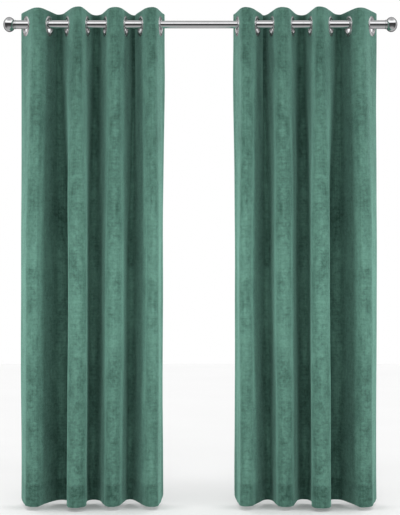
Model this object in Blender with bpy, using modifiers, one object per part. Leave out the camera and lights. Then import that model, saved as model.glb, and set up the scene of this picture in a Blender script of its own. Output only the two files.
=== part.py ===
"""A pair of velvet eyelet curtains hanging from a chrome curtain rod with ball finials.

Metres. +X runs along the rod, -Y faces the room and +Z is up. The origin is on the
rod's axis, midway between the finials. Each panel is one sheet that weaves through
the line of the rod: it crosses the rod at every eyelet and turns at the tip of every
fold, a crest in front of the rod or a valley behind it.
"""

import math
from collections import namedtuple

import bmesh
import bpy
import numpy as np
from mathutils import Matrix, Vector

MM = 0.001
CLEARANCE = 0.3 * MM  # between pieces that touch

# The rod: a middle tube that slides inside an outer tube at each end
ROD_RADIUS = 14.0 * MM
ROD_BORE_RADIUS = 12.65 * MM
MIDDLE_RADIUS = 12.2 * MM
MIDDLE_BORE_RADIUS = 11.0 * MM
MIDDLE_HALF_LENGTH = 0.250
OUTER_START = 0.160
OUTER_END = 0.600
ROD_SEGMENTS = 24

# A finial: an oblate ball on a short collar, with a spigot inside the outer tube
BALL_RADIUS = 24.2 * MM
BALL_HALF_WIDTH = 19.6 * MM
BALL_CENTRE = 0.6205
COLLAR_RADIUS = 15.2 * MM
COLLAR_WIDTH = 3.0 * MM
SPIGOT_RADIUS = 12.2 * MM
SPIGOT_LENGTH = 18.0 * MM
BALL_RINGS = 10

# An eyelet: a front half with the barrel and a back ring, pressed on either side
EYELET_RADIUS = 33.0 * MM
EYELET_HOLE_RADIUS = 22.0 * MM
BARREL_RADIUS = 23.5 * MM
EYELET_CROWN = 3.0 * MM
EYELET_SEGMENTS = 16
HANG = 5.6 * MM  # of an eyelet's middle under the rod's axis: the most turned one rests

# A panel: heights from the rod's axis, and how its cloth is divided
CLOTH = 2.0 * MM
PANEL_TOP = 0.044
HEADING_BOTTOM = -0.060
FOLDS_SETTLED = -0.750
PANEL_HEM = -1.558
ROWS_BELOW_HEADING = 8
STRIP_HALF = 35.0 * MM  # flat cloth on each side of an eyelet's middle
HALF_TURN_SEGMENTS = 3
EDGE_SEGMENTS = 2
ROUNDNESS = 0.58  # length of a turn's handles, as a share of the turn
PANEL_MIDDLE = {"left": -0.352, "right": 0.343}
TOWARDS_MIDDLE = {"left": 1.0, "right": -1.0}

# Where the cloth crosses the rod's line, outer eyelet first. x is measured from the
# panel's middle towards the window's middle, and tilt is from square across the rod,
# in degrees. Head is at the eyelets, hem is at the floor end, and sway is the
# sideways bow between them.
Crossing = namedtuple("Crossing", "head_x head_tilt hem_x hem_tilt sway")
CROSSINGS = [
    Crossing(-213, 26, -221, 15, 1.0),
    Crossing(-140, 16, -150, 19, -2.0),
    Crossing(-80, 19, -75, -2, 1.5),
    Crossing(-16, 8, -19, -4, 2.0),
    Crossing(44, 15, 37, 13, 2.5),
    Crossing(109, 11, 97, 6, 5.0),
    Crossing(159, 18, 160, 20, 6.0),
    Crossing(221, 9, 219, 5, 1.0),
]

# The tip of each fold between two crossings: its x, and its depth y from the rod's
# line, negative towards the room.
Tip = namedtuple("Tip", "head_x head_y hem_x hem_y sway")
TIPS = [
    Tip(-169, -64, -175, -60, 1.0),
    Tip(-117, 66, -108, 76, -2.0),
    Tip(-34, -83, -46, -82, 2.0),
    Tip(8, 78, -1, 78, -1.0),
    Tip(81, -73, 71, -64, 4.0),
    Tip(135, 79, 118, 78, 5.0),
    Tip(199, -72, 200, -56, 3.0),
]
OUTER_EDGE = Tip(-236, 61, -236, 62, 0.0)
INNER_EDGE = Tip(233, 66, 228, 66, 0.0)

VELVET = (0.055, 0.175, 0.125)
CHROME = (0.78, 0.78, 0.80)


def clear_scene():
    for obj in list(bpy.data.objects):
        bpy.data.objects.remove(obj, do_unlink=True)


def new_collection(name):
    collection = bpy.data.collections.new(name)
    bpy.context.scene.collection.children.link(collection)
    return collection


def principled(name, color, roughness, metallic):
    material = bpy.data.materials.new(name)
    material.use_nodes = True
    shader = material.node_tree.nodes["Principled BSDF"]
    shader.inputs["Base Color"].default_value = (*color, 1.0)
    shader.inputs["Roughness"].default_value = roughness
    shader.inputs["Metallic"].default_value = metallic
    material.diffuse_color = (*color, 1.0)
    return material


def add_object(name, mesh, collection, material):
    obj = bpy.data.objects.new(name, mesh)
    if not mesh.materials:
        mesh.materials.append(material)
    collection.objects.link(obj)
    return obj


# ---- the folds of a panel, seen from above ----


def share_of_hem(height):
    """0 at the heading, rising smoothly to 1 where the folds have settled."""
    fall = (HEADING_BOTTOM - height) / (HEADING_BOTTOM - FOLDS_SETTLED)
    fall = min(max(fall, 0.0), 1.0)
    return fall * fall * (3.0 - 2.0 * fall)


def sway_at(height):
    """The share of the sideways bow: none at the heading, all of it at mid drop."""
    drop = (HEADING_BOTTOM - height) / (HEADING_BOTTOM - PANEL_HEM)
    return math.sin(math.pi * min(max(drop, 0.0), 1.0)) ** 2


def between(head, hem, share):
    return head + (hem - head) * share


def crossing_at(index, height):
    """Where crossing number index meets the rod's line, and the cloth's direction."""
    row = CROSSINGS[index]
    share = share_of_hem(height)
    x = between(row.head_x, row.hem_x, share) + row.sway * sway_at(height)
    tilt = math.radians(between(row.head_tilt, row.hem_tilt, share))
    forwards = -1.0 if index % 2 == 0 else 1.0
    return Vector((x * MM, 0.0)), Vector((math.sin(tilt), forwards * math.cos(tilt)))


def tip_at(row, height):
    share = share_of_hem(height)
    x = between(row.head_x, row.hem_x, share) + row.sway * sway_at(height)
    return Vector((x, between(row.head_y, row.hem_y, share))) * MM


def bezier(start, start_handle, end_handle, end, segments):
    """Points along a cubic curve, without its first point."""
    t = np.linspace(0.0, 1.0, segments + 1)[1:, None]
    a, b, c, d = (np.array(point) for point in (start, start_handle, end_handle, end))
    s = 1.0 - t
    return s**3 * a + 3 * s * s * t * b + 3 * s * t * t * c + t**3 * d


def half_turn(strip_end, direction, tip):
    """From the end of a flat strip round to the tip of a fold, where it runs along X."""
    reach = abs(tip.y - strip_end.y) * ROUNDNESS / abs(direction.y)
    handle = strip_end + direction * reach
    tip_handle = Vector((tip.x + (handle.x - tip.x) * ROUNDNESS, tip.y))
    return bezier(strip_end, handle, tip_handle, tip, HALF_TURN_SEGMENTS)


def edge_run(strip_end, direction, edge):
    """From the end of the first or last flat strip to the panel's side edge."""
    reach = abs(edge.y - strip_end.y) / 3.0
    handle = strip_end + direction * reach
    edge_handle = Vector((edge.x, edge.y - math.copysign(reach, edge.y)))
    return bezier(strip_end, handle, edge_handle, edge, EDGE_SEGMENTS)


def plan_curve(height):
    """The cloth's line at one height, from its outer side edge to its inner one."""
    last = len(CROSSINGS) - 1
    pieces = []
    for index in range(len(CROSSINGS)):
        middle, direction = crossing_at(index, height)
        start = middle - direction * STRIP_HALF
        end = middle + direction * STRIP_HALF
        if index == 0:
            edge = tip_at(OUTER_EDGE, height)
            pieces += [[edge], edge_run(start, -direction, edge)[-2::-1]]
        else:
            tip = tip_at(TIPS[index - 1], height)
            pieces.append(half_turn(start, -direction, tip)[-2::-1])
        pieces.append([start, end])
        if index < last:
            pieces.append(half_turn(end, direction, tip_at(TIPS[index], height)))
        else:
            pieces.append(edge_run(end, direction, tip_at(INNER_EDGE, height)))
    return np.concatenate([np.array(piece) for piece in pieces])


def place(point, side):
    """A point of the left panel's plan, in the pair's frame, for either panel."""
    return PANEL_MIDDLE[side] + point[0] * TOWARDS_MIDDLE[side], point[1]


def eyelet_matrix(index, side):
    """The eyelet's own Z stands square to its cloth, on the velvet's face."""
    middle, direction = crossing_at(index, 0.0)
    x, y = place(middle, side)
    angle = math.atan2(direction.y, direction.x) * TOWARDS_MIDDLE[side]
    turn = Matrix.Rotation(angle, 4, "Z") @ Matrix.Rotation(math.pi / 2.0, 4, "X")
    return Matrix.Translation((x, y, -HANG)) @ turn


# ---- the pieces ----


def panel_sheet(side):
    """The bare sheet: a grid whose columns follow the plan curve of each row."""
    below = np.linspace(HEADING_BOTTOM, PANEL_HEM, ROWS_BELOW_HEADING + 1)
    heights = [PANEL_TOP, *below]
    curves = [plan_curve(height) for height in heights]
    columns = len(curves[0])
    mesh = bmesh.new()
    bmesh.ops.create_grid(
        mesh, x_segments=columns - 1, y_segments=len(heights) - 1, size=0.5
    )
    for vertex in mesh.verts:
        column = round((vertex.co.x + 0.5) * (columns - 1))
        row = round((0.5 - vertex.co.y) * (len(heights) - 1))
        x, y = place(curves[row][column], side)
        vertex.co = (x, y, heights[row])
    data = bpy.data.meshes.new(f"velvet_panel_{side}")
    mesh.to_mesh(data)
    mesh.free()
    return data


def eyelet_cutters(side, collection):
    """One cylinder through the cloth for each eyelet's barrel."""
    radius = (BARREL_RADIUS + CLEARANCE) / math.cos(math.pi / EYELET_SEGMENTS)
    mesh = bmesh.new()
    for index in range(len(CROSSINGS)):
        bmesh.ops.create_cone(
            mesh,
            cap_ends=True,
            segments=EYELET_SEGMENTS,
            radius1=radius,
            radius2=radius,
            depth=10.0 * MM,
            matrix=eyelet_matrix(index, side),
        )
    data = bpy.data.meshes.new(f"eyelet_holes_{side}")
    mesh.to_mesh(data)
    mesh.free()
    cutter = bpy.data.objects.new(f"eyelet_holes_{side}", data)
    collection.objects.link(cutter)
    cutter.hide_render = True
    cutter.display_type = "WIRE"
    return cutter


def add_panel(side, collection, cutters, velvet):
    panel = add_object(f"velvet_panel_{side}", panel_sheet(side), collection, velvet)
    solidify = panel.modifiers.new("cloth", "SOLIDIFY")
    solidify.thickness = CLOTH
    solidify.offset = 0.0
    solidify.use_even_offset = True
    holes = panel.modifiers.new("eyelet_holes", "BOOLEAN")
    holes.operation = "DIFFERENCE"
    holes.solver = "EXACT"
    holes.object = eyelet_cutters(side, cutters)
    return panel


def profile_mesh(name, points, closed):
    """A line of (radius, height) points at +X, ready to be turned about Z."""
    count = len(points)
    edges = [(i, (i + 1) % count) for i in range(count if closed else count - 1)]
    mesh = bpy.data.meshes.new(name)
    mesh.from_pydata([(radius, 0.0, height) for radius, height in points], edges, [])
    return mesh


def add_turned(name, mesh, segments, collection, material):
    obj = add_object(name, mesh, collection, material)
    screw = obj.modifiers.new("turned", "SCREW")
    screw.steps = segments
    screw.render_steps = segments
    screw.use_merge_vertices = True
    screw.merge_threshold = 0.01 * MM
    screw.use_smooth_shade = True
    return obj


def eyelet_front_profile():
    """Domed flange on the velvet's face, with the barrel that runs through the cloth."""
    face = CLOTH / 2.0 + CLEARANCE
    crown = face + EYELET_CROWN
    width = EYELET_RADIUS - EYELET_HOLE_RADIUS
    return [
        (EYELET_HOLE_RADIUS, face),
        (EYELET_HOLE_RADIUS + 0.20 * width, face + 0.80 * EYELET_CROWN),
        (EYELET_HOLE_RADIUS + 0.60 * width, crown),
        (EYELET_RADIUS, face + 0.30 * EYELET_CROWN),
        (EYELET_RADIUS, face),
        (BARREL_RADIUS, face),
        (BARREL_RADIUS, -crown),
        (EYELET_HOLE_RADIUS, -crown),
    ]


def eyelet_back_profile():
    """Domed ring on the velvet's reverse, round the end of the barrel."""
    inner = (BARREL_RADIUS + CLEARANCE) / math.cos(math.pi / EYELET_SEGMENTS)
    width = EYELET_RADIUS - inner
    face = CLOTH / 2.0 + CLEARANCE
    return [
        (inner, -face),
        (EYELET_RADIUS, -face),
        (EYELET_RADIUS, -face - 0.30 * EYELET_CROWN),
        (EYELET_RADIUS - 0.45 * width, -face - EYELET_CROWN),
        (inner, -face - 0.85 * EYELET_CROWN),
    ]


def add_eyelets(side, collection, chrome, front, back):
    for index in range(len(CROSSINGS)):
        for half, mesh in (("front", front), ("back", back)):
            name = f"eyelet_{side}_{index + 1}_{half}"
            eyelet = add_turned(name, mesh, EYELET_SEGMENTS, collection, chrome)
            eyelet.matrix_world = eyelet_matrix(index, side)


def tube_profile(radius, bore_radius, low, high):
    return [(bore_radius, high), (radius, high), (radius, low), (bore_radius, low)]


def lay_along_rod(obj, towards):
    """Turns an object made about Z so that its +Z points out along the rod."""
    obj.matrix_world = Matrix.Rotation(towards * math.pi / 2.0, 4, "Y")


def add_rod(collection, chrome):
    outer = tube_profile(ROD_RADIUS, ROD_BORE_RADIUS, OUTER_START, OUTER_END)
    middle = tube_profile(
        MIDDLE_RADIUS, MIDDLE_BORE_RADIUS, -MIDDLE_HALF_LENGTH, MIDDLE_HALF_LENGTH
    )
    outer_mesh = profile_mesh("rod_tube_outer", outer, True)
    middle_mesh = profile_mesh("rod_tube_middle", middle, True)
    tubes = [
        ("left", outer_mesh, -1.0),
        ("right", outer_mesh, 1.0),
        ("middle", middle_mesh, 1.0),
    ]
    for name, mesh, towards in tubes:
        tube = add_turned(f"rod_tube_{name}", mesh, ROD_SEGMENTS, collection, chrome)
        lay_along_rod(tube, towards)


def finial_profile():
    """From the ball's far pole over its belly to the collar and down the spigot."""
    collar_end = OUTER_END + CLEARANCE
    collar_start = collar_end + COLLAR_WIDTH
    neck = math.acos(SPIGOT_RADIUS / BALL_RADIUS)
    angles = np.linspace(math.pi / 2.0, -neck, BALL_RINGS + 1)[1:]
    points = [(0.0, BALL_CENTRE + BALL_HALF_WIDTH)]
    for angle in angles:
        radius = BALL_RADIUS * math.cos(angle)
        points.append((radius, BALL_CENTRE + BALL_HALF_WIDTH * math.sin(angle)))
    points += [
        (COLLAR_RADIUS, collar_start),
        (COLLAR_RADIUS, collar_end),
        (SPIGOT_RADIUS, collar_end),
        (SPIGOT_RADIUS, collar_end - SPIGOT_LENGTH),
        (0.0, collar_end - SPIGOT_LENGTH),
    ]
    return points


def add_finials(collection, chrome):
    mesh = profile_mesh("finial", finial_profile(), False)
    for side, towards in (("left", -1.0), ("right", 1.0)):
        finial = add_turned(f"finial_{side}", mesh, ROD_SEGMENTS, collection, chrome)
        lay_along_rod(finial, towards)


def main():
    clear_scene()
    pair = new_collection("eyelet_curtain_pair")
    cutters = new_collection("cutters")
    velvet = principled("velvet", VELVET, 0.85, 0.0)
    eyelet_chrome = principled("eyelet_chrome", CHROME, 0.15, 1.0)
    rod_chrome = principled("rod_chrome", CHROME, 0.08, 1.0)
    finial_chrome = principled("finial_chrome", CHROME, 0.08, 1.0)
    add_rod(pair, rod_chrome)
    add_finials(pair, finial_chrome)
    front = profile_mesh("eyelet_front", eyelet_front_profile(), True)
    back = profile_mesh("eyelet_back", eyelet_back_profile(), True)
    for side in PANEL_MIDDLE:
        add_panel(side, pair, cutters, velvet)
        add_eyelets(side, pair, eyelet_chrome, front, back)


main()
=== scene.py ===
import math

import bmesh
import bpy
import numpy as np
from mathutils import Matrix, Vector


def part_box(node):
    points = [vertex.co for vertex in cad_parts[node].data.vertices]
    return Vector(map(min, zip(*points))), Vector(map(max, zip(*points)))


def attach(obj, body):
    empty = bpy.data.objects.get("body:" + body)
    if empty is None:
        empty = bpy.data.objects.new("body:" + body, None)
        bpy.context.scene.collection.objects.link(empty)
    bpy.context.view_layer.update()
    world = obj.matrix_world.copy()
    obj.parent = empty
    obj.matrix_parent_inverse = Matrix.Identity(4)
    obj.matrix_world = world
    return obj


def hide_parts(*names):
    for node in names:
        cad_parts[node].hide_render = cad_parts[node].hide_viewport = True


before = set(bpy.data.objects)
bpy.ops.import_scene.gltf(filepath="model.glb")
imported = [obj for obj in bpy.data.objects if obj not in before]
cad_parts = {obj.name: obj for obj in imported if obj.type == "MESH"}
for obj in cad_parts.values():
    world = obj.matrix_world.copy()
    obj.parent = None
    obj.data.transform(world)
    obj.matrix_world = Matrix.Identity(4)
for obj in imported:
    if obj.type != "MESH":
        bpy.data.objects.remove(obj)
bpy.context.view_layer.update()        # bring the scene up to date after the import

mm = 0.001


# Shader maths: a socket with arithmetic, and one method for every other node.

class Wire:
    # Wraps an output socket, so that a sum, difference or product on it adds a Math node.
    def __init__(self, shop, socket):
        self.shop = shop
        self.socket = socket

    def math(self, operation, *others, clamp=False):
        settings = {"operation": operation, "use_clamp": clamp}
        values = {i: value for i, value in enumerate((self, *others))}
        return self.shop.node("ShaderNodeMath", settings, values)

    def __add__(self, other):
        return self.math("ADD", other)

    __radd__ = __add__

    def __mul__(self, other):
        return self.math("MULTIPLY", other)

    __rmul__ = __mul__

    def __sub__(self, other):
        return self.math("SUBTRACT", other)

    def __rsub__(self, other):
        return self.shop.node("ShaderNodeMath", {"operation": "SUBTRACT"}, {0: other, 1: self})

    def clamped(self):
        return self.math("ADD", 0.0, clamp=True)

    def between(self, low, high):
        # 0 below low, 1 above high and a smooth rise from one to the other
        settings = {"interpolation_type": "SMOOTHSTEP"}
        values = {"Value": self, "From Min": low, "From Max": high}
        return self.shop.node("ShaderNodeMapRange", settings, values)


class Shop:
    # Makes one material or world: its nodes, their settings and their links.
    def __init__(self, owner):
        owner.use_nodes = True
        self.owner = owner
        self.tree = owner.node_tree
        self.tree.nodes.clear()

    def node(self, kind, settings=None, values=None, out=0):
        made = self.tree.nodes.new(kind)
        for name, value in (settings or {}).items():
            if name == "stops":
                ramp = made.color_ramp
                while len(ramp.elements) < len(value):
                    ramp.elements.new(0.5)
                for element, (place, color) in zip(ramp.elements, value):
                    element.position = place
                    element.color = (*color, 1.0)
            else:
                setattr(made, name, value)
        for name, value in (values or {}).items():
            self.put(made.inputs[name], value)
        return Wire(self, made.outputs[out]) if made.outputs else made

    def put(self, socket, value):
        if isinstance(value, Wire):
            self.tree.links.new(value.socket, socket)
        else:
            socket.default_value = value

    def mixColor(self, share, first, second):
        settings = {"data_type": "RGBA", "clamp_factor": True}
        return self.node("ShaderNodeMix", settings, {0: share, 6: first, 7: second}, out=2)

    def noise(self, vector, scale, detail=2.0, roughness=0.5, distortion=0.0):
        values = {"Vector": vector, "Scale": scale, "Detail": detail,
                  "Roughness": roughness, "Distortion": distortion}
        return self.node("ShaderNodeTexNoise", {}, values)

    def stretched(self, vector, scale):
        return self.node("ShaderNodeMapping", {}, {"Vector": vector, "Scale": scale})

    def surface(self, values):
        shader = self.node("ShaderNodeBsdfPrincipled", {}, values)
        self.node("ShaderNodeOutputMaterial", {}, {"Surface": shader})

    def bump(self, height, distance, strength):
        values = {"Height": height, "Distance": distance, "Strength": strength}
        return self.node("ShaderNodeBump", {}, values)


def makeMaterial(name):
    return Shop(bpy.data.materials.new(name))


def rgb(color):
    return (*color, 1.0)


# The velvet sheet: where it runs, seen from above, and how it falls.

velvet = dict(
    nodes={"left": "velvet_panel_left", "right": "velvet_panel_right"},
    middle={"left": -0.352, "right": 0.343},   # of each panel, along the rod
    headingEnd=-0.060,   # the folds run straight down to here
    settled=-0.750,      # and have their lower shape from here
    flatSize=(1.32, 1.60),
    stripHalf=35 * mm,   # flat cloth on each side of an eyelet's middle
    turnSteps=12,        # points of a cubic round a tip, of one at a side edge
    edgeRunSteps=6,
    stripPoints=9,       # and of a flat strip
    roundness=0.58,      # length of a cubic's handles, as a share of the way they cover
    clothHalf=1.0 * mm,
    hemHalf=1.5 * mm,    # half the thickness where a hem is turned in
    pressedHalf=1.05 * mm,   # and under the eyelets
    seamDip=0.45 * mm,   # how far a row of stitches draws the cloth in
    edgeRound=1.5 * mm,
    sideHem=25 * mm,
    bottomHem=72 * mm,
    cornerRise=(12 * mm, 20 * mm),   # outer and inner bottom corner
    cornerReach=45 * mm,
    columnStep=6.2 * mm,
    rowStep=9.0 * mm,
    edgeSteps=(0.25 * mm, 0.7 * mm, 1.3 * mm, 2.4 * mm),  # rows that round an edge
)
# Each place where the cloth crosses the rod's line, outer one first: x from the
# panel's middle towards the window's middle and tilt from square, at the head and at
# the hem, then the sideways bow between them. mm and degrees.
crossings = np.array([
    (-213, 26, -221, 15, 1.0),
    (-140, 16, -150, 19, -2.0),
    (-80, 19, -75, -2, 1.5),
    (-16, 8, -19, -4, 2.0),
    (44, 15, 37, 13, 2.5),
    (109, 11, 97, 6, 5.0),
    (159, 18, 160, 20, 6.0),
    (221, 9, 219, 5, 1.0),
])
# The outer edge, the tip of each fold and the inner edge: x and y at the head, x and
# y at the hem, then the bow. mm.
tips = np.array([
    (-236, 61, -236, 62, 0.0),
    (-169, -64, -175, -60, 1.0),
    (-117, 66, -108, 76, -2.0),
    (-34, -83, -46, -82, 2.0),
    (8, 78, -1, 78, -1.0),
    (81, -73, 71, -64, 4.0),
    (135, 79, 118, 78, 5.0),
    (199, -72, 200, -56, 3.0),
    (233, 66, 228, 66, 0.0),
])
# Long soft ripples in the cloth: height, length along the cloth, length down it.
ripples = np.array([
    (0.9 * mm, 0.290, 1.30),
    (0.6 * mm, 0.135, 0.85),
    (0.35 * mm, 0.071, 0.60),
])
# Creases and soft ridges: place along the cloth, top, bottom, depth (a ridge is
# negative), half width and sideways lean per metre of drop. Metres.
creases = np.array([
    (0.135, -0.10, -1.40, 1.6 * mm, 9 * mm, 0.010),
    (0.172, -0.30, -1.10, -1.1 * mm, 12 * mm, -0.012),
    (0.455, -0.06, -0.80, 1.0 * mm, 10 * mm, 0.015),
    (0.486, -0.70, -1.45, 0.9 * mm, 8 * mm, -0.008),
    (0.815, -0.12, -1.05, 1.1 * mm, 9 * mm, -0.010),
    (0.846, -0.60, -1.50, -0.9 * mm, 11 * mm, 0.010),
    (1.105, -0.08, -0.70, 1.2 * mm, 9 * mm, 0.018),
    (1.150, -0.45, -1.35, 1.0 * mm, 10 * mm, -0.010),
])

panelLow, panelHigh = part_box(velvet["nodes"]["left"])
panelTop, panelHem = panelHigh[2], panelLow[2]
eyeletLow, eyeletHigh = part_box("eyelet_left_3_front")
eyeletHeight = (eyeletLow[2] + eyeletHigh[2]) / 2
towardsMiddle = {"left": 1.0, "right": -1.0}


def eased(t):
    # 3t^2 - 2t^3 between 0 and 1
    t = np.clip(t, 0.0, 1.0)
    return t * t * (3.0 - 2.0 * t)


def guides(z, table, first, second):
    # one column of a table at each height: its head value passes to its hem value
    share = eased((velvet["headingEnd"] - z) / (velvet["headingEnd"] - velvet["settled"]))
    return table[:, first] + (table[:, second] - table[:, first]) * share[:, None]


def bow(z, table):
    # sideways bow, as the square of a half sine wave down the drop
    drop = np.clip((velvet["headingEnd"] - z) / (velvet["headingEnd"] - panelHem), 0.0, 1.0)
    return table[:, 4] * np.sin(math.pi * drop)[:, None] ** 2


def cubic(a, b, c, d, steps):
    # (1-t)^3 a + 3(1-t)^2 t b + 3(1-t) t^2 c + t^3 d, for each t after 0
    t = np.linspace(0.0, 1.0, steps + 1)[1:, None]
    s = 1.0 - t
    a, b, c, d = (p[:, None, :] for p in (a, b, c, d))
    return s**3 * a + 3 * s * s * t * b + 3 * s * t * t * c + t**3 * d


def halfTurn(stripEnd, direction, tip):
    # cubic from a flat strip's end, along its direction, to a tip where it runs along X
    share = velvet["roundness"]
    reach = abs(tip[:, 1:] - stripEnd[:, 1:]) * share / abs(direction[:, 1:])
    handle = stripEnd + direction * reach
    tipHandle = np.stack([tip[:, 0] + (handle[:, 0] - tip[:, 0]) * share, tip[:, 1]], 1)
    return cubic(stripEnd, handle, tipHandle, tip, velvet["turnSteps"])


def edgeRun(stripEnd, direction, edge):
    # cubic from the first or last strip's end to the side edge, which it meets along Y
    reach = abs(edge[:, 1:] - stripEnd[:, 1:]) / 3.0
    handle = stripEnd + direction * reach
    edgeHandle = edge - np.concatenate([0 * reach, reach], 1)
    return cubic(stripEnd, handle, edgeHandle, edge, velvet["edgeRunSteps"])


def foldLines(z):
    # for each height, the cloth's line from above: a straight strip through every
    # crossing, joined by two cubics round every tip; an array (heights, points, 2)
    x = (guides(z, crossings, 0, 2) + bow(z, crossings)) * mm
    tilt = np.radians(guides(z, crossings, 1, 3))
    ahead = np.where(np.arange(len(crossings)) % 2 == 0, -1.0, 1.0)
    middles = np.stack([x, 0 * x], 2)
    directions = np.stack([np.sin(tilt), ahead * np.cos(tilt)], 2)
    tipX = guides(z, tips, 0, 2) + bow(z, tips)
    turns = np.stack([tipX, guides(z, tips, 1, 3)], 2) * mm
    starts = middles - directions * velvet["stripHalf"]
    ends = middles + directions * velvet["stripHalf"]
    t = np.linspace(0.0, 1.0, velvet["stripPoints"])[:, None]
    last = len(crossings) - 1
    runs = [turns[:, :1]]
    for i in range(len(crossings)):
        join = edgeRun if i == 0 else halfTurn
        runs.append(join(starts[:, i], -directions[:, i], turns[:, i])[:, -2::-1])
        runs.append(starts[:, i, None] * (1 - t) + ends[:, i, None] * t)
        join = edgeRun if i == last else halfTurn
        runs.append(join(ends[:, i], directions[:, i], turns[:, i + 1]))
    return np.concatenate(runs, 1)


def lengthsAlong(lines):
    # running length of each line
    steps = np.linalg.norm(np.diff(lines, axis=1), axis=2)
    return np.concatenate([np.zeros((len(lines), 1)), np.cumsum(steps, 1)], 1)


def onLines(lines, lengths, share):
    # points at a share of each line's length; the rows lie end to end, 2 apart, so
    # that one interpolation serves them all
    offset = 2.0 * np.arange(len(lines))[:, None]
    known = (lengths / lengths[:, -1:] + offset).ravel()
    wanted = (np.clip(share, 0.0, 1.0) + offset).ravel()
    found = [np.interp(wanted, known, lines[..., k].ravel()) for k in (0, 1)]
    return np.stack(found, 1).reshape(*share.shape, 2)


def rippleHeight(along, z, side):
    # sum of sine ripples and of bell-shaped creases, all fading out at the heading
    phase = 0.0 if side == "left" else 0.37
    total = np.zeros_like(along)
    for k, (height, across, down) in enumerate(ripples):
        wander = 0.22 * np.sin(2 * math.pi * (z / down + 0.31 * k + phase))
        total += height * np.sin(2 * math.pi * (along / across + wander + 0.17 * k + phase))
    for k, (place, top, bottom, depth, width, lean) in enumerate(creases):
        centre = place + lean * (top - z) + (0.0 if side == "left" else 0.012 * (-1) ** k)
        window = eased((top - z) / 0.18) * eased((z - bottom) / 0.25)
        total -= depth * window * np.exp(-(((along - centre) / width) ** 2))
    return total * eased((velvet["headingEnd"] + 0.015 - z) / 0.14)


def hemWave(along, z, side):
    # two sines lift the bottom edge by a millimetre or two along the cloth, and the side
    # hems draw its corners up by rise * (1 - distance from the edge / reach) squared
    phase = 0.0 if side == "left" else 0.4
    wave = np.sin(2 * math.pi * (along / 0.41 + phase)) + 0.6 * np.sin(2 * math.pi * along / 0.17)
    lift = 0.9 * mm * (1.0 + wave) * eased((panelHem + 0.25 - z) / 0.25)
    for edge, rise in zip((0.0, velvet["flatSize"][0]), velvet["cornerRise"]):
        near = np.clip(1.0 - np.abs(along - edge) / velvet["cornerReach"], 0.0, 1.0)
        low = eased((panelHem + velvet["bottomHem"] - z) / velvet["bottomHem"])
        lift = lift + rise * near ** 2 * low
    return lift


def sheetMiddle(share, rowZ, z, side):
    # the sheet's mid surface: the fold line at the row's height, shifted along its own
    # normal by the ripples, at height z
    lines = foldLines(rowZ)
    lengths = lengthsAlong(lines)
    step = 0.0015
    here = onLines(lines, lengths, share)
    tangent = onLines(lines, lengths, share + step) - onLines(lines, lengths, share - step)
    tangent /= np.linalg.norm(tangent, axis=2, keepdims=True)
    normal = np.stack([tangent[..., 1], -tangent[..., 0]], 2)
    along = share * velvet["flatSize"][0]
    here = here + normal * rippleHeight(along, z, side)[..., None]
    height = z + hemWave(along, z, side)
    x = velvet["middle"][side] + here[..., 0] * towardsMiddle[side]
    return np.stack([x, here[..., 1], height], 2)


def sheetNormals(points, side):
    # down the cloth crossed with along it, facing the room
    normal = np.cross(np.gradient(points, axis=0), np.gradient(points, axis=1))
    normal /= np.linalg.norm(normal, axis=2, keepdims=True)
    return normal * towardsMiddle[side]


# Putting arrays into meshes.

def makePiece(name, points, faces, material, uv=None):
    mesh = bpy.data.meshes.new(name)
    mesh.from_pydata(points.reshape(-1, 3).tolist(), [], faces)
    mesh.polygons.foreach_set("use_smooth", np.ones(len(mesh.polygons), bool))
    if uv is not None:
        corners = np.empty(len(mesh.loops), np.int32)
        mesh.loops.foreach_get("vertex_index", corners)
        layer = mesh.uv_layers.new(name="clothMap")
        layer.data.foreach_set("uv", uv[corners].astype(np.float32).ravel())
    mesh.materials.append(material)
    mesh.update()
    piece = bpy.data.objects.new(name, mesh)
    bpy.context.scene.collection.objects.link(piece)
    return piece


def gridFaces(index, closeAcross=False):
    # quads between the rows and columns of an array of vertex numbers
    if closeAcross:
        index = np.concatenate([index, index[:, :1]], 1)
    quads = np.stack([index[:-1, :-1], index[1:, :-1], index[1:, 1:], index[:-1, 1:]], 2)
    return quads.reshape(-1, 4)


# A panel: two layers of one sheet, closed round its edges and eyelet holes.

holeGrid = dict(
    inner=2,             # grid steps from an eyelet's middle to the removed square
    outer=4,             # and to where the grid is square again
    step=8.25 * mm,
    radius=24.1 * mm,    # of the round hole that the removed square becomes
    pressed=36 * mm,     # the flange squeezes the cloth inside this radius
)


def eyeletPlaces():
    # the length along the cloth from its outer edge to the middle of each flat strip,
    # and the full length
    lines = foldLines(np.array([eyeletHeight]))
    lengths = lengthsAlong(lines)[0]
    strip = velvet["stripPoints"]
    perFold = 2 * velvet["turnSteps"] + strip - 1
    starts = velvet["edgeRunSteps"] + perFold * np.arange(len(crossings))
    return (lengths[starts] + lengths[starts + strip - 1]) / 2, lengths[-1]


def spacedBetween(low, high, step):
    # even places between two ends, without the ends
    count = max(2, round((high - low) / step))
    return np.linspace(low, high, count + 1)[1:-1]


def marksAlong(start, end, centres, step):
    # grid lines: fine at both ends and even steps round every centre
    fine = np.array(velvet["edgeSteps"])
    reach = holeGrid["outer"] * holeGrid["step"]
    block = np.linspace(-reach, reach, 2 * holeGrid["outer"] + 1)
    marks = [[start], start + fine]
    last = marks[-1][-1]
    for centre in centres:
        marks += [spacedBetween(last, centre - reach, step), centre + block]
        last = centre + reach
    marks += [spacedBetween(last, end - fine[-1], step), end - fine[::-1], [end]]
    return np.concatenate(marks)


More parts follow.
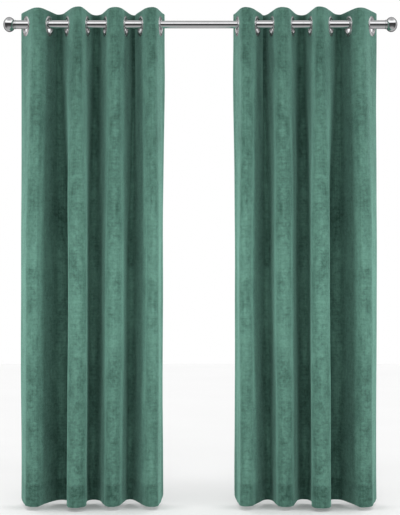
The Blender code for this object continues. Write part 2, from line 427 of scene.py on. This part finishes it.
def openHoles(along, z, centres):
    # the square of grid lines round each eyelet becomes a circle: a point at the
    # largest of its two distances m moves from its place towards the hole's circle,
    # fully at the inner square and not at all at the outer one
    inner = holeGrid["inner"] * holeGrid["step"]
    outer = holeGrid["outer"] * holeGrid["step"]
    distance = np.full(along.shape, np.inf)
    for centre in centres:
        across, down = along - centre, z - eyeletHeight
        largest = np.maximum(abs(across), abs(down))
        radius = np.maximum(np.hypot(across, down), 1e-9)
        share = np.clip((outer - largest) / (outer - inner), 0.0, 1.0)
        pull = np.where(largest < outer, share, 0.0)
        scale = 1.0 - pull + pull * holeGrid["radius"] / radius
        scale = np.where(largest < 0.5 * inner, 1.0, scale)
        along = centre + across * scale
        z = eyeletHeight + down * scale
        distance = np.minimum(distance, largest)
    return along, z, distance


def clothHalfThickness(along, z, total, centres):
    # the cloth's own half thickness, more in the hems, less under the eyelets and in
    # the stitched lines, and round at every edge
    side = np.minimum(along, total - along)
    bottom = z - panelHem
    heading = velvet["headingEnd"] + 4 * mm
    hemmed = np.maximum.reduce([
        eased((velvet["sideHem"] - side) / (3 * mm)),
        eased((velvet["bottomHem"] - bottom) / (3 * mm)),
        eased((z - heading) / (6 * mm)),
    ])
    half = velvet["clothHalf"] + (velvet["hemHalf"] - velvet["clothHalf"]) * hemmed
    for hem, near in (("sideHem", side), ("bottomHem", bottom)):
        seamPlace = velvet[hem] - 3 * mm
        half = half - velvet["seamDip"] * np.exp(-(((near - seamPlace) / (2.2 * mm)) ** 2))
    for centre in centres:
        radius = np.hypot(along - centre, z - eyeletHeight)
        under = eased((holeGrid["pressed"] + 6 * mm - radius) / (8 * mm))
        half = half + (velvet["pressedHalf"] - half) * under
    toEdge = np.minimum(np.minimum(side, bottom), panelTop - z)
    rim = np.clip(toEdge / velvet["edgeRound"], 0.0, 1.0)
    return half * np.sqrt(1.0 - (1.0 - rim) ** 2)


def makePanel(side, material):
    # two layers at plus and minus half the thickness along the sheet's normal, which
    # share the points of the outer edge and of the hole edges
    centres, total = eyeletPlaces()
    alongMarks = marksAlong(0.0, total, centres, velvet["columnStep"])
    downMarks = marksAlong(0.0, panelTop - panelHem, [panelTop - eyeletHeight], velvet["rowStep"])
    rowZ = panelTop - downMarks
    along, z = np.meshgrid(alongMarks, rowZ)
    along, z, distance = openHoles(along, z, centres)
    middle = sheetMiddle(along / total, rowZ, z, side)
    normal = sheetNormals(middle, side)
    half = clothHalfThickness(along, z, total, centres)[..., None]

    inner = holeGrid["inner"] * holeGrid["step"]
    gone = distance < inner - 1e-6
    rim = abs(distance - inner) <= 1e-6
    rim[[0, -1], :] = True
    rim[:, [0, -1]] = True
    half[rim] = 0.0
    kept = ~gone
    doubled = kept & ~rim
    front = np.cumsum(kept.ravel()).reshape(kept.shape) - 1
    count = int(kept.sum())
    back = np.where(doubled, count + np.cumsum(doubled.ravel()).reshape(kept.shape) - 1, front)
    square = distance <= inner + 1e-6
    inHole = square[:-1, :-1] & square[1:, :-1] & square[1:, 1:] & square[:-1, 1:]
    solid = ~inHole.ravel()
    facesFront = gridFaces(front)[solid]
    facesBack = gridFaces(back)[solid][:, ::-1]
    faces = np.concatenate([facesFront, facesBack])
    if side == "right":
        faces = faces[:, ::-1]
    reach = normal * half
    points = np.concatenate([(middle + reach)[kept], (middle - reach)[doubled]])
    flat = np.stack([along / total * velvet["flatSize"][0], z - panelHem], 2)
    uv = np.concatenate([flat[kept], flat[doubled]])
    name = "velvetSheet" + side.capitalize()
    return makePiece(name, points, faces.tolist(), material, uv)


# Stitches: short rounded threads laid along a seam.

seam = dict(
    pitch=3.6 * mm, length=2.7 * mm, radius=0.26 * mm, sides=6,
    inset=3 * mm,        # from a hem's inner edge
    headingDrop=7 * mm,  # from the top edge
    ends=12 * mm,        # left free at both ends of a seam
    lift=1.05 * mm, headingLift=1.5 * mm,  # over the sheet's middle
)


def stitchFrame(share, z, side):
    # centres, directions along and down the cloth, and outward normals of stitches
    step = 0.0008
    share, z = share[:, None], z[:, None]
    here = sheetMiddle(share, z[:, 0], z, side)[:, 0]
    across = sheetMiddle(share + step, z[:, 0], z, side)[:, 0] - here
    down = sheetMiddle(share, z[:, 0] - mm, z - mm, side)[:, 0] - here
    normal = np.cross(down, across) * towardsMiddle[side]
    normal /= np.linalg.norm(normal, axis=1, keepdims=True)
    return here, across, down, normal


def threadPoints(centre, direction, normal):
    # rings round the stitch's line: a capsule with an end ring of 0.4 of its radius
    direction = direction / np.linalg.norm(direction, axis=1, keepdims=True)
    aside = np.cross(direction, normal)
    angle = np.linspace(0.0, 2 * math.pi, seam["sides"], endpoint=False)
    places = np.array([-0.5, -0.38, 0.0, 0.38, 0.5]) * seam["length"]
    radii = np.array([0.4, 1.0, 1.1, 1.0, 0.4]) * seam["radius"]
    sink = np.array([-0.3, -0.1, 0.1, -0.1, -0.3]) * seam["radius"]
    ring = (np.cos(angle)[None, :, None] * aside[:, None, None]
            + np.sin(angle)[None, :, None] * normal[:, None, None])
    spine = (centre[:, None] + direction[:, None] * places[None, :, None]
             + normal[:, None] * sink[None, :, None])
    return spine[:, :, None] + ring * radii[None, :, None, None]


def threadFaces(count):
    # the side quads and two end caps of every stitch
    rings, sides = 5, seam["sides"]
    one = np.arange(rings * sides).reshape(rings, sides)
    quads = gridFaces(one, closeAcross=True)
    size = rings * sides
    starts = (np.arange(count) * size)[:, None, None]
    allQuads = (quads[None] + starts).reshape(-1, 4).tolist()
    caps = (np.stack([one[0], one[-1][::-1]])[None] + starts).reshape(-1, sides).tolist()
    return allQuads + caps


def makeStitches(side, material):
    # rows along the hem and the heading, and a row down each side hem
    width = velvet["flatSize"][0]
    inset = (velvet["sideHem"] - seam["inset"]) / width
    rowEnds = np.array([seam["ends"], width - seam["ends"]]) / width
    across = np.arange(rowEnds[0], rowEnds[1], seam["pitch"] / width)
    down = np.arange(panelHem + seam["ends"], panelTop - seam["ends"], seam["pitch"])
    hemLine = panelHem + velvet["bottomHem"] - seam["inset"]
    parts = []
    for z, lift in ((hemLine, seam["lift"]), (panelTop - seam["headingDrop"], seam["headingLift"])):
        centre, along, _, normal = stitchFrame(across, np.full_like(across, z), side)
        parts.append(threadPoints(centre + normal * lift, along, normal))
    for share in (inset, 1.0 - inset):
        centre, _, along, normal = stitchFrame(np.full_like(down, share), down, side)
        parts.append(threadPoints(centre + normal * seam["lift"], along, normal))
    points = np.concatenate(parts)
    name = "seamStitches" + side.capitalize()
    piece = makePiece(name, points, threadFaces(len(points)), material)
    fixNormals(piece)
    return piece


def fixNormals(piece):
    # every closed shell of the mesh is turned to face outwards
    work = bmesh.new()
    work.from_mesh(piece.data)
    bmesh.ops.recalc_face_normals(work, faces=work.faces)
    work.to_mesh(piece.data)
    work.free()


# Turned metal: eyelets, tubes and finials are outlines carried round an axis.

metal = dict(
    tubeRadius=14.0 * mm, tubeBore=12.65 * mm, tubeInner=0.160, tubeOuter=0.600,
    innerRadius=12.2 * mm, innerBore=11.0 * mm, innerHalf=0.250,
    mouthRound=0.4 * mm, gap=0.3 * mm,
    ballRadius=24.2 * mm, ballHalfWidth=19.6 * mm, ballCentre=0.6205,
    collarRadius=15.2 * mm, collarWidth=3.0 * mm,
    collarBead=1.0 * mm, neckRadius=14.2 * mm,
    spigotRadius=12.2 * mm, spigotLength=18.0 * mm, spigotChamfer=0.8 * mm,
    rodSegments=112, eyeletSegments=72,
)
# Outlines as radius and height over the cloth's middle, then the rounding of that
# corner. mm.
eyeletFace = [
    (22.0, -4.3, 0.3),
    (22.0, 4.3, 3.2),
    (28.0, 4.3, 11.0),
    (33.0, 2.5, 0.9),
    (33.0, 1.3, 0.25),
    (23.5, 1.3, 0.3),
    (23.5, -4.3, 0.3),
]
eyeletRing = [
    (24.2, -1.4, 0.2),
    (33.0, -1.4, 0.25),
    (33.0, -2.6, 0.7),
    (28.5, -4.3, 9.0),
    (24.2, -4.3, 1.2),
]


def roundedOutline(corners, steps=6):
    # closed outline through the corners, each corner an arc that touches both sides
    corners = np.array(corners, float)
    radii, corners = corners[:, 2], corners[:, :2]
    before = np.roll(corners, 1, 0) - corners
    after = np.roll(corners, -1, 0) - corners
    before /= np.linalg.norm(before, axis=1, keepdims=True)
    after /= np.linalg.norm(after, axis=1, keepdims=True)
    half = np.arccos(np.clip((before * after).sum(1), -1.0, 1.0)) / 2
    bisector = before + after
    bisector /= np.linalg.norm(bisector, axis=1, keepdims=True)
    centres = corners + bisector * (radii / np.sin(half))[:, None]
    starts = corners + before * (radii / np.tan(half))[:, None] - centres
    ends = corners + after * (radii / np.tan(half))[:, None] - centres
    sweep = (math.pi - 2 * half)[:, None]
    t = np.linspace(0.0, 1.0, steps)[None, :]
    fromStart, fromEnd = np.sin((1 - t) * sweep) / np.sin(sweep), np.sin(t * sweep) / np.sin(sweep)
    arcs = starts[:, None] * fromStart[..., None] + ends[:, None] * fromEnd[..., None]
    return (centres[:, None] + arcs).reshape(-1, 2)


axisX, axisY, axisZ = np.eye(3)


def turnedPoints(outline, segments, centre, axis, across, up):
    # outline's radius round the axis, its height along it: an array (segments, points, 3)
    angle = np.linspace(0.0, 2 * math.pi, segments, endpoint=False)[:, None, None]
    spoke = np.cos(angle) * across + np.sin(angle) * up
    return centre + spoke * outline[None, :, :1] + outline[None, :, 1:] * axis


def ringFaces(segments, count):
    # quads of an outline closed on itself and carried all the way round
    index = np.arange(segments * count).reshape(segments, count)
    index = np.concatenate([index, index[:1]])
    return gridFaces(index, closeAcross=True)


def eyeletFrame(side, i):
    # centre, face direction and the level direction of eyelet i, from its crossing
    x, tilt = crossings[i, 0] * mm, math.radians(crossings[i, 1])
    ahead = -1.0 if i % 2 == 0 else 1.0
    level = np.array([math.sin(tilt) * towardsMiddle[side], ahead * math.cos(tilt), 0.0])
    face = np.array([level[1], -level[0], 0.0]) * towardsMiddle[side]
    centre = np.array([velvet["middle"][side] + x * towardsMiddle[side], 0.0, eyeletHeight])
    return centre, face, level


def makeEyelet(side, i, half, corners, material):
    # a rounded outline carried round the eyelet's axis
    centre, face, level = eyeletFrame(side, i)
    outline = roundedOutline(corners) * mm
    segments = metal["eyeletSegments"]
    points = turnedPoints(outline, segments, centre, face, level, axisZ)
    name = f"eyelet{side.capitalize()}{i + 1}{half.capitalize()}"
    piece = makePiece(name, points, ringFaces(segments, len(outline)).tolist(), material)
    fixNormals(piece)
    piece.data.set_sharp_from_angle(angle=math.radians(50))
    return piece


def makeTube(name, radius, bore, low, high, material):
    # a wall with rolled mouths, carried round the rod's axis
    ends = ((radius, low), (radius, high), (bore, high), (bore, low))
    outline = roundedOutline([(*end, metal["mouthRound"]) for end in ends], 5)
    segments = metal["rodSegments"]
    points = turnedPoints(outline, segments, np.zeros(3), axisX, axisY, axisZ)
    piece = makePiece(name, points, ringFaces(segments, len(outline)).tolist(), material)
    fixNormals(piece)
    return piece


def makeFinial(side, material):
    # outline from the far pole over the ball, neck and collar to the spigot's end; the
    # two poles are single vertices
    m = metal
    collarEnd = m["tubeOuter"] + m["gap"]
    spigotEnd = collarEnd - m["spigotLength"]
    neck = math.acos(m["neckRadius"] / m["ballRadius"])
    angle = np.linspace(math.pi / 2, -neck, 49)[1:]
    ball = np.stack([m["ballRadius"] * np.cos(angle),
                     m["ballCentre"] + m["ballHalfWidth"] * np.sin(angle)], 1)
    collarTop = collarEnd + m["collarWidth"]
    bead = np.linspace(0.0, math.pi, 13)
    collar = np.stack([m["collarRadius"] - m["collarBead"] * (1.0 - np.sin(bead)),
                       (collarTop + collarEnd) / 2 + m["collarWidth"] / 2 * np.cos(bead)], 1)
    spigot = np.array([(m["spigotRadius"], collarEnd),
                       (m["spigotRadius"], spigotEnd + m["spigotChamfer"]),
                       (m["spigotRadius"] - m["spigotChamfer"], spigotEnd)])
    outline = np.concatenate([ball, collar, spigot])
    segments, count = m["rodSegments"], len(outline)
    towards = -towardsMiddle[side] * axisX
    points = turnedPoints(outline, segments, np.zeros(3), towards, axisY, axisZ)
    poles = np.array([towards * (m["ballCentre"] + m["ballHalfWidth"]), towards * spigotEnd])
    index = np.arange(segments * count).reshape(segments, count)
    ring = np.concatenate([index, index[:1]])
    quads = gridFaces(ring).tolist()
    first, last = segments * count, segments * count + 1
    caps = [[first, a, b] for a, b in zip(ring[:-1, 0].tolist(), ring[1:, 0].tolist())]
    caps += [[last, b, a] for a, b in zip(ring[:-1, -1].tolist(), ring[1:, -1].tolist())]
    points = np.concatenate([points.reshape(-1, 3), poles])
    name = "ballFinial" + side.capitalize()
    piece = makePiece(name, points, quads + caps, material)
    fixNormals(piece)
    piece.data.set_sharp_from_angle(angle=math.radians(40))
    return piece


# Finishes.

def velvetFinish():
    # short pile: clouds and patches where it is crushed, brushed both ways, tufts and flecks,
    # darker over the bottom hem band, painted light on the outer fold and at mid height, and a
    # sheen at its edges
    shop = makeMaterial("greenVelvet")
    cloth = shop.node("ShaderNodeUVMap", {"uv_map": "clothMap"})
    along = shop.node("ShaderNodeSeparateXYZ", {}, {"Vector": cloth}, out=0)
    height = shop.node("ShaderNodeSeparateXYZ", {}, {"Vector": cloth}, out=1)
    clouds = shop.noise(shop.stretched(cloth, (1.0, 0.6, 1.0)), 26.0, 5.0, 0.6, 0.8)
    patches = shop.noise(shop.stretched(cloth, (1.0, 0.55, 1.0)), 7.0, 3.0, 0.5, 0.5)
    streaks = shop.noise(shop.stretched(cloth, (1.0, 0.05, 1.0)), 190.0, 2.0, 0.6)
    brushed = shop.noise(shop.stretched(cloth, (0.12, 1.0, 1.0)), 160.0, 3.0, 0.6, 0.3)
    pile = shop.noise(cloth, 1300.0, 2.0, 0.6)
    tufts = shop.noise(cloth, 330.0, 4.0, 0.7)
    flecks = shop.noise(cloth, 95.0, 3.0, 0.6, 0.4)
    shade = ((clouds - 0.5) * 1.3 + (patches - 0.5) * 1.2 + (streaks - 0.5) * 0.5
             + (brushed - 0.5) * 0.6 + (flecks - 0.5) * 1.1 + (tufts - 0.5) * 0.8
             + (pile - 0.5) * 0.5)
    # darker over the bottom hem band
    turned = 1.0 - height.between(velvet["bottomHem"] - 2 * mm, velvet["bottomHem"])
    paintedOuterFoldLight = 1.0 - along.between(0.14, 0.21)   # painted light: the outer fold is lighter, as more light falls on it
    # painted light: the cloth is lighter over the middle height, where more light falls on it
    middle = height.between(0.20, 0.65) - height.between(0.85, 1.25)
    tone = (shade + 0.44 - turned * 0.24 + paintedOuterFoldLight * 0.12 + middle * 0.14).clamped()
    color = shop.mixColor(tone, rgb((0.020, 0.052, 0.040)), rgb((0.080, 0.174, 0.137)))
    rough = 0.85 + (clouds - 0.5) * 0.25 + (tufts - 0.5) * 0.2
    relief = pile * 0.35 + tufts * 0.8 + streaks * 0.3 + brushed * 0.3 + clouds * 1.2
    shop.surface({
        "Base Color": color,
        "Roughness": rough.clamped(),
        "Specular IOR Level": 0.10,
        "Sheen Weight": 0.36,
        "Sheen Roughness": 0.45,
        "Sheen Tint": rgb((0.50, 1.0, 0.83)),
        "Normal": shop.bump(relief, 1.0 * mm, 0.6),
    })
    return shop.owner


def threadFinish():
    # twisted thread: diagonal bands and a slow change of shade
    shop = makeMaterial("greenThread")
    place = shop.node("ShaderNodeTexCoord", out="Object")
    bands = {"wave_type": "BANDS", "bands_direction": "DIAGONAL"}
    values = {"Vector": place, "Scale": 900.0, "Distortion": 1.5, "Detail": 2.0}
    twist = shop.node("ShaderNodeTexWave", bands, values, out=1)
    shade = shop.noise(place, 60.0, 3.0, 0.6)
    tone = twist * 0.5 + shade * 0.5
    color = shop.mixColor(tone, rgb((0.03, 0.085, 0.065)), rgb((0.09, 0.20, 0.155)))
    shop.surface({
        "Base Color": color,
        "Roughness": (0.45 + twist * 0.2).clamped(),
        "Sheen Weight": 0.3,
        "Normal": shop.bump(twist, 0.1 * mm, 0.6),
    })
    return shop.owner


def chromeFinish(name, tint, gloss, marks, metallic=1.0):
    # bright plating: faint cloudy wear, fine polishing lines and a few specks
    shop = makeMaterial(name)
    place = shop.node("ShaderNodeTexCoord", out="Object")
    clouds = shop.noise(place, 55.0, 4.0, 0.6)
    lines = shop.noise(shop.stretched(place, (1.0, 30.0, 30.0)), 60.0, 3.0, 0.6)
    specks = shop.noise(place, 900.0, 1.0, 0.4).between(0.70, 0.78)
    dull = clouds.between(0.52, 0.75)
    darker = tuple(0.82 * channel for channel in tint)
    color = shop.mixColor(dull * 0.5 + specks * 0.4, rgb(tint), rgb(darker))
    rough = gloss + dull * 0.05 * marks + (lines - 0.5) * 0.04 * marks + specks * 0.15
    shop.surface({
        "Base Color": color,
        "Metallic": metallic,
        "Roughness": rough.clamped(),
        "Normal": shop.bump(lines * 0.6 + clouds * 0.4, 0.05 * mm, 0.12 * marks),
    })
    return shop.owner


# Build it all.

velvetSkin = velvetFinish()
threadSkin = threadFinish()
eyeletSkin = chromeFinish("eyeletChrome", (0.88, 0.87, 0.88), 0.17, 1.4, 0.90)
rodSkin = chromeFinish("rodChrome", (0.86, 0.86, 0.87), 0.09, 1.0)
finialSkin = chromeFinish("finialChrome", (0.80, 0.80, 0.81), 0.07, 0.8)


def place(piece, slot, *nodes):
    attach(piece, "root")
    if nodes:
        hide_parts(*nodes)


for side in ("left", "right"):
    sheet = makePanel(side, velvetSkin)
    place(sheet, "velvet", velvet["nodes"][side])
    stitches = makeStitches(side, threadSkin)
    place(stitches, "velvet")
    for i in range(len(crossings)):
        for half, corners in (("front", eyeletFace), ("back", eyeletRing)):
            ring = makeEyelet(side, i, half, corners, eyeletSkin)
            place(ring, "eyelet_chrome", f"eyelet_{side}_{i + 1}_{half}")

outerTube = (metal["tubeRadius"], metal["tubeBore"])
tubes = {
    "left": (*outerTube, -metal["tubeOuter"], -metal["tubeInner"]),
    "right": (*outerTube, metal["tubeInner"], metal["tubeOuter"]),
    "middle": (metal["innerRadius"], metal["innerBore"], -metal["innerHalf"], metal["innerHalf"]),
}
for name, measures in tubes.items():
    tube = makeTube("rodTube" + name.capitalize(), *measures, rodSkin)
    place(tube, "rod_chrome", "rod_tube_" + name)
for side in ("left", "right"):
    place(makeFinial(side, finialSkin), "finial_chrome", "finial_" + side)
print("rod and finials done")


# Floor, light and camera.

stageSet = dict(
    floorDrop=12 * mm,   # the hem hangs this far above the floor
    floorHalf=6.0,
    cameraPlace=(-0.0011, -4.44, -0.757),
    lens=95.5,
    sideLampPower=6.2,
    frontLampPower=31.0,
    skyStrength=0.6,
)


def makeFloor():
    z = panelHem - stageSet["floorDrop"]
    reach = stageSet["floorHalf"]
    corners = np.array([(x * reach, y * reach, z) for x, y in ((-1, -1), (1, -1), (1, 1), (-1, 1))])
    shop = makeMaterial("paleFloor")
    spot = shop.node("ShaderNodeTexCoord", out="Object")
    cloud = shop.noise(spot, 2.0, 3.0, 0.5)
    color = shop.mixColor(cloud, rgb((0.80, 0.80, 0.80)), rgb((0.84, 0.84, 0.84)))
    shop.surface({"Base Color": color, "Roughness": 0.9, "Specular IOR Level": 0.1})
    floor = makePiece("paleFloor", corners, [[0, 1, 2, 3]], shop.owner)
    floor.visible_glossy = False


def makeWorld():
    # even white for the camera and the cloth; what metal mirrors is dark in front, white
    # over that, grey above and below, and grey to dark behind
    world = bpy.data.worlds.new("studioWorld")
    bpy.context.scene.world = world
    shop = Shop(world)
    split = {"Vector": shop.node("ShaderNodeTexCoord", out="Generated")}
    back = shop.node("ShaderNodeSeparateXYZ", {}, split, out=1)
    up = shop.node("ShaderNodeSeparateXYZ", {}, split, out=2)
    levels = [(0.0, 0.46), (0.14, 0.36), (0.25, 0.10), (0.54, 0.03), (0.65, 0.10),
              (0.71, 1.3), (0.84, 1.25), (0.93, 0.62), (1.0, 0.42)]
    stops = [(spot, (level, level, level)) for spot, level in levels]
    front = shop.node("ShaderNodeValToRGB", {"stops": stops}, {"Fac": up * 0.5 + 0.5})
    far = back.between(0.3, 0.95)
    behind = shop.mixColor(far, rgb((0.55, 0.55, 0.55)), rgb((0.10, 0.10, 0.10)))
    mirrored = shop.mixColor(back.between(-0.05, 0.35), front, behind)
    glossy = shop.node("ShaderNodeLightPath", out="Is Glossy Ray")
    color = shop.mixColor(glossy, rgb((1.0, 1.0, 1.0)), mirrored)
    shader = shop.node("ShaderNodeBackground", {}, {"Color": color, "Strength": 1.0})
    shop.node("ShaderNodeOutputWorld", {}, {"Surface": shader})


def makeLamp(name, location, target, width, height, power, spread):
    light = bpy.data.lights.new(name, "AREA")
    light.shape = "RECTANGLE"
    light.size, light.size_y = width, height
    light.energy = power
    light.spread = spread
    lamp = bpy.data.objects.new(name, light)
    bpy.context.scene.collection.objects.link(lamp)
    lamp.location = location
    aim = Vector(target) - Vector(location)
    lamp.rotation_euler = aim.to_track_quat("-Z", "Y").to_euler()
    lamp.visible_glossy = False
    lamp.visible_camera = False


def makeSun(name, strength):
    # straight down, so that it whitens the floor and passes by the cloth
    light = bpy.data.lights.new(name, "SUN")
    light.energy = strength
    light.angle = math.radians(25)
    lamp = bpy.data.objects.new(name, light)
    bpy.context.scene.collection.objects.link(lamp)
    lamp.visible_glossy = False


def makeCamera():
    data = bpy.data.cameras.new("frontCamera")
    data.lens = stageSet["lens"]
    data.sensor_width = 36.0
    data.clip_end = 50.0
    camera = bpy.data.objects.new("frontCamera", data)
    camera.location = stageSet["cameraPlace"]
    camera.rotation_euler = (math.pi / 2, 0.0, 0.0)
    bpy.context.scene.collection.objects.link(camera)
    bpy.context.scene.camera = camera


makeFloor()
makeWorld()
for side in ("left", "right"):
    aim = velvet["middle"][side]
    location = (aim + towardsMiddle[side] * 2.5, -1.5, -0.9)
    makeLamp(side + "InnerLamp", location, (aim, 0.0, -0.9), 0.8, 1.6,
             stageSet["sideLampPower"], spread=0.9)
makeLamp("frontLamp", (0.0, -3.8, -0.8), (0.0, 0.0, -0.8), 1.0, 1.2,
         stageSet["frontLampPower"], spread=math.pi)
makeSun("skyLamp", stageSet["skyStrength"])
makeCamera()
bpy.context.scene.view_settings.view_transform = "Standard"
print("stage, light and camera done")
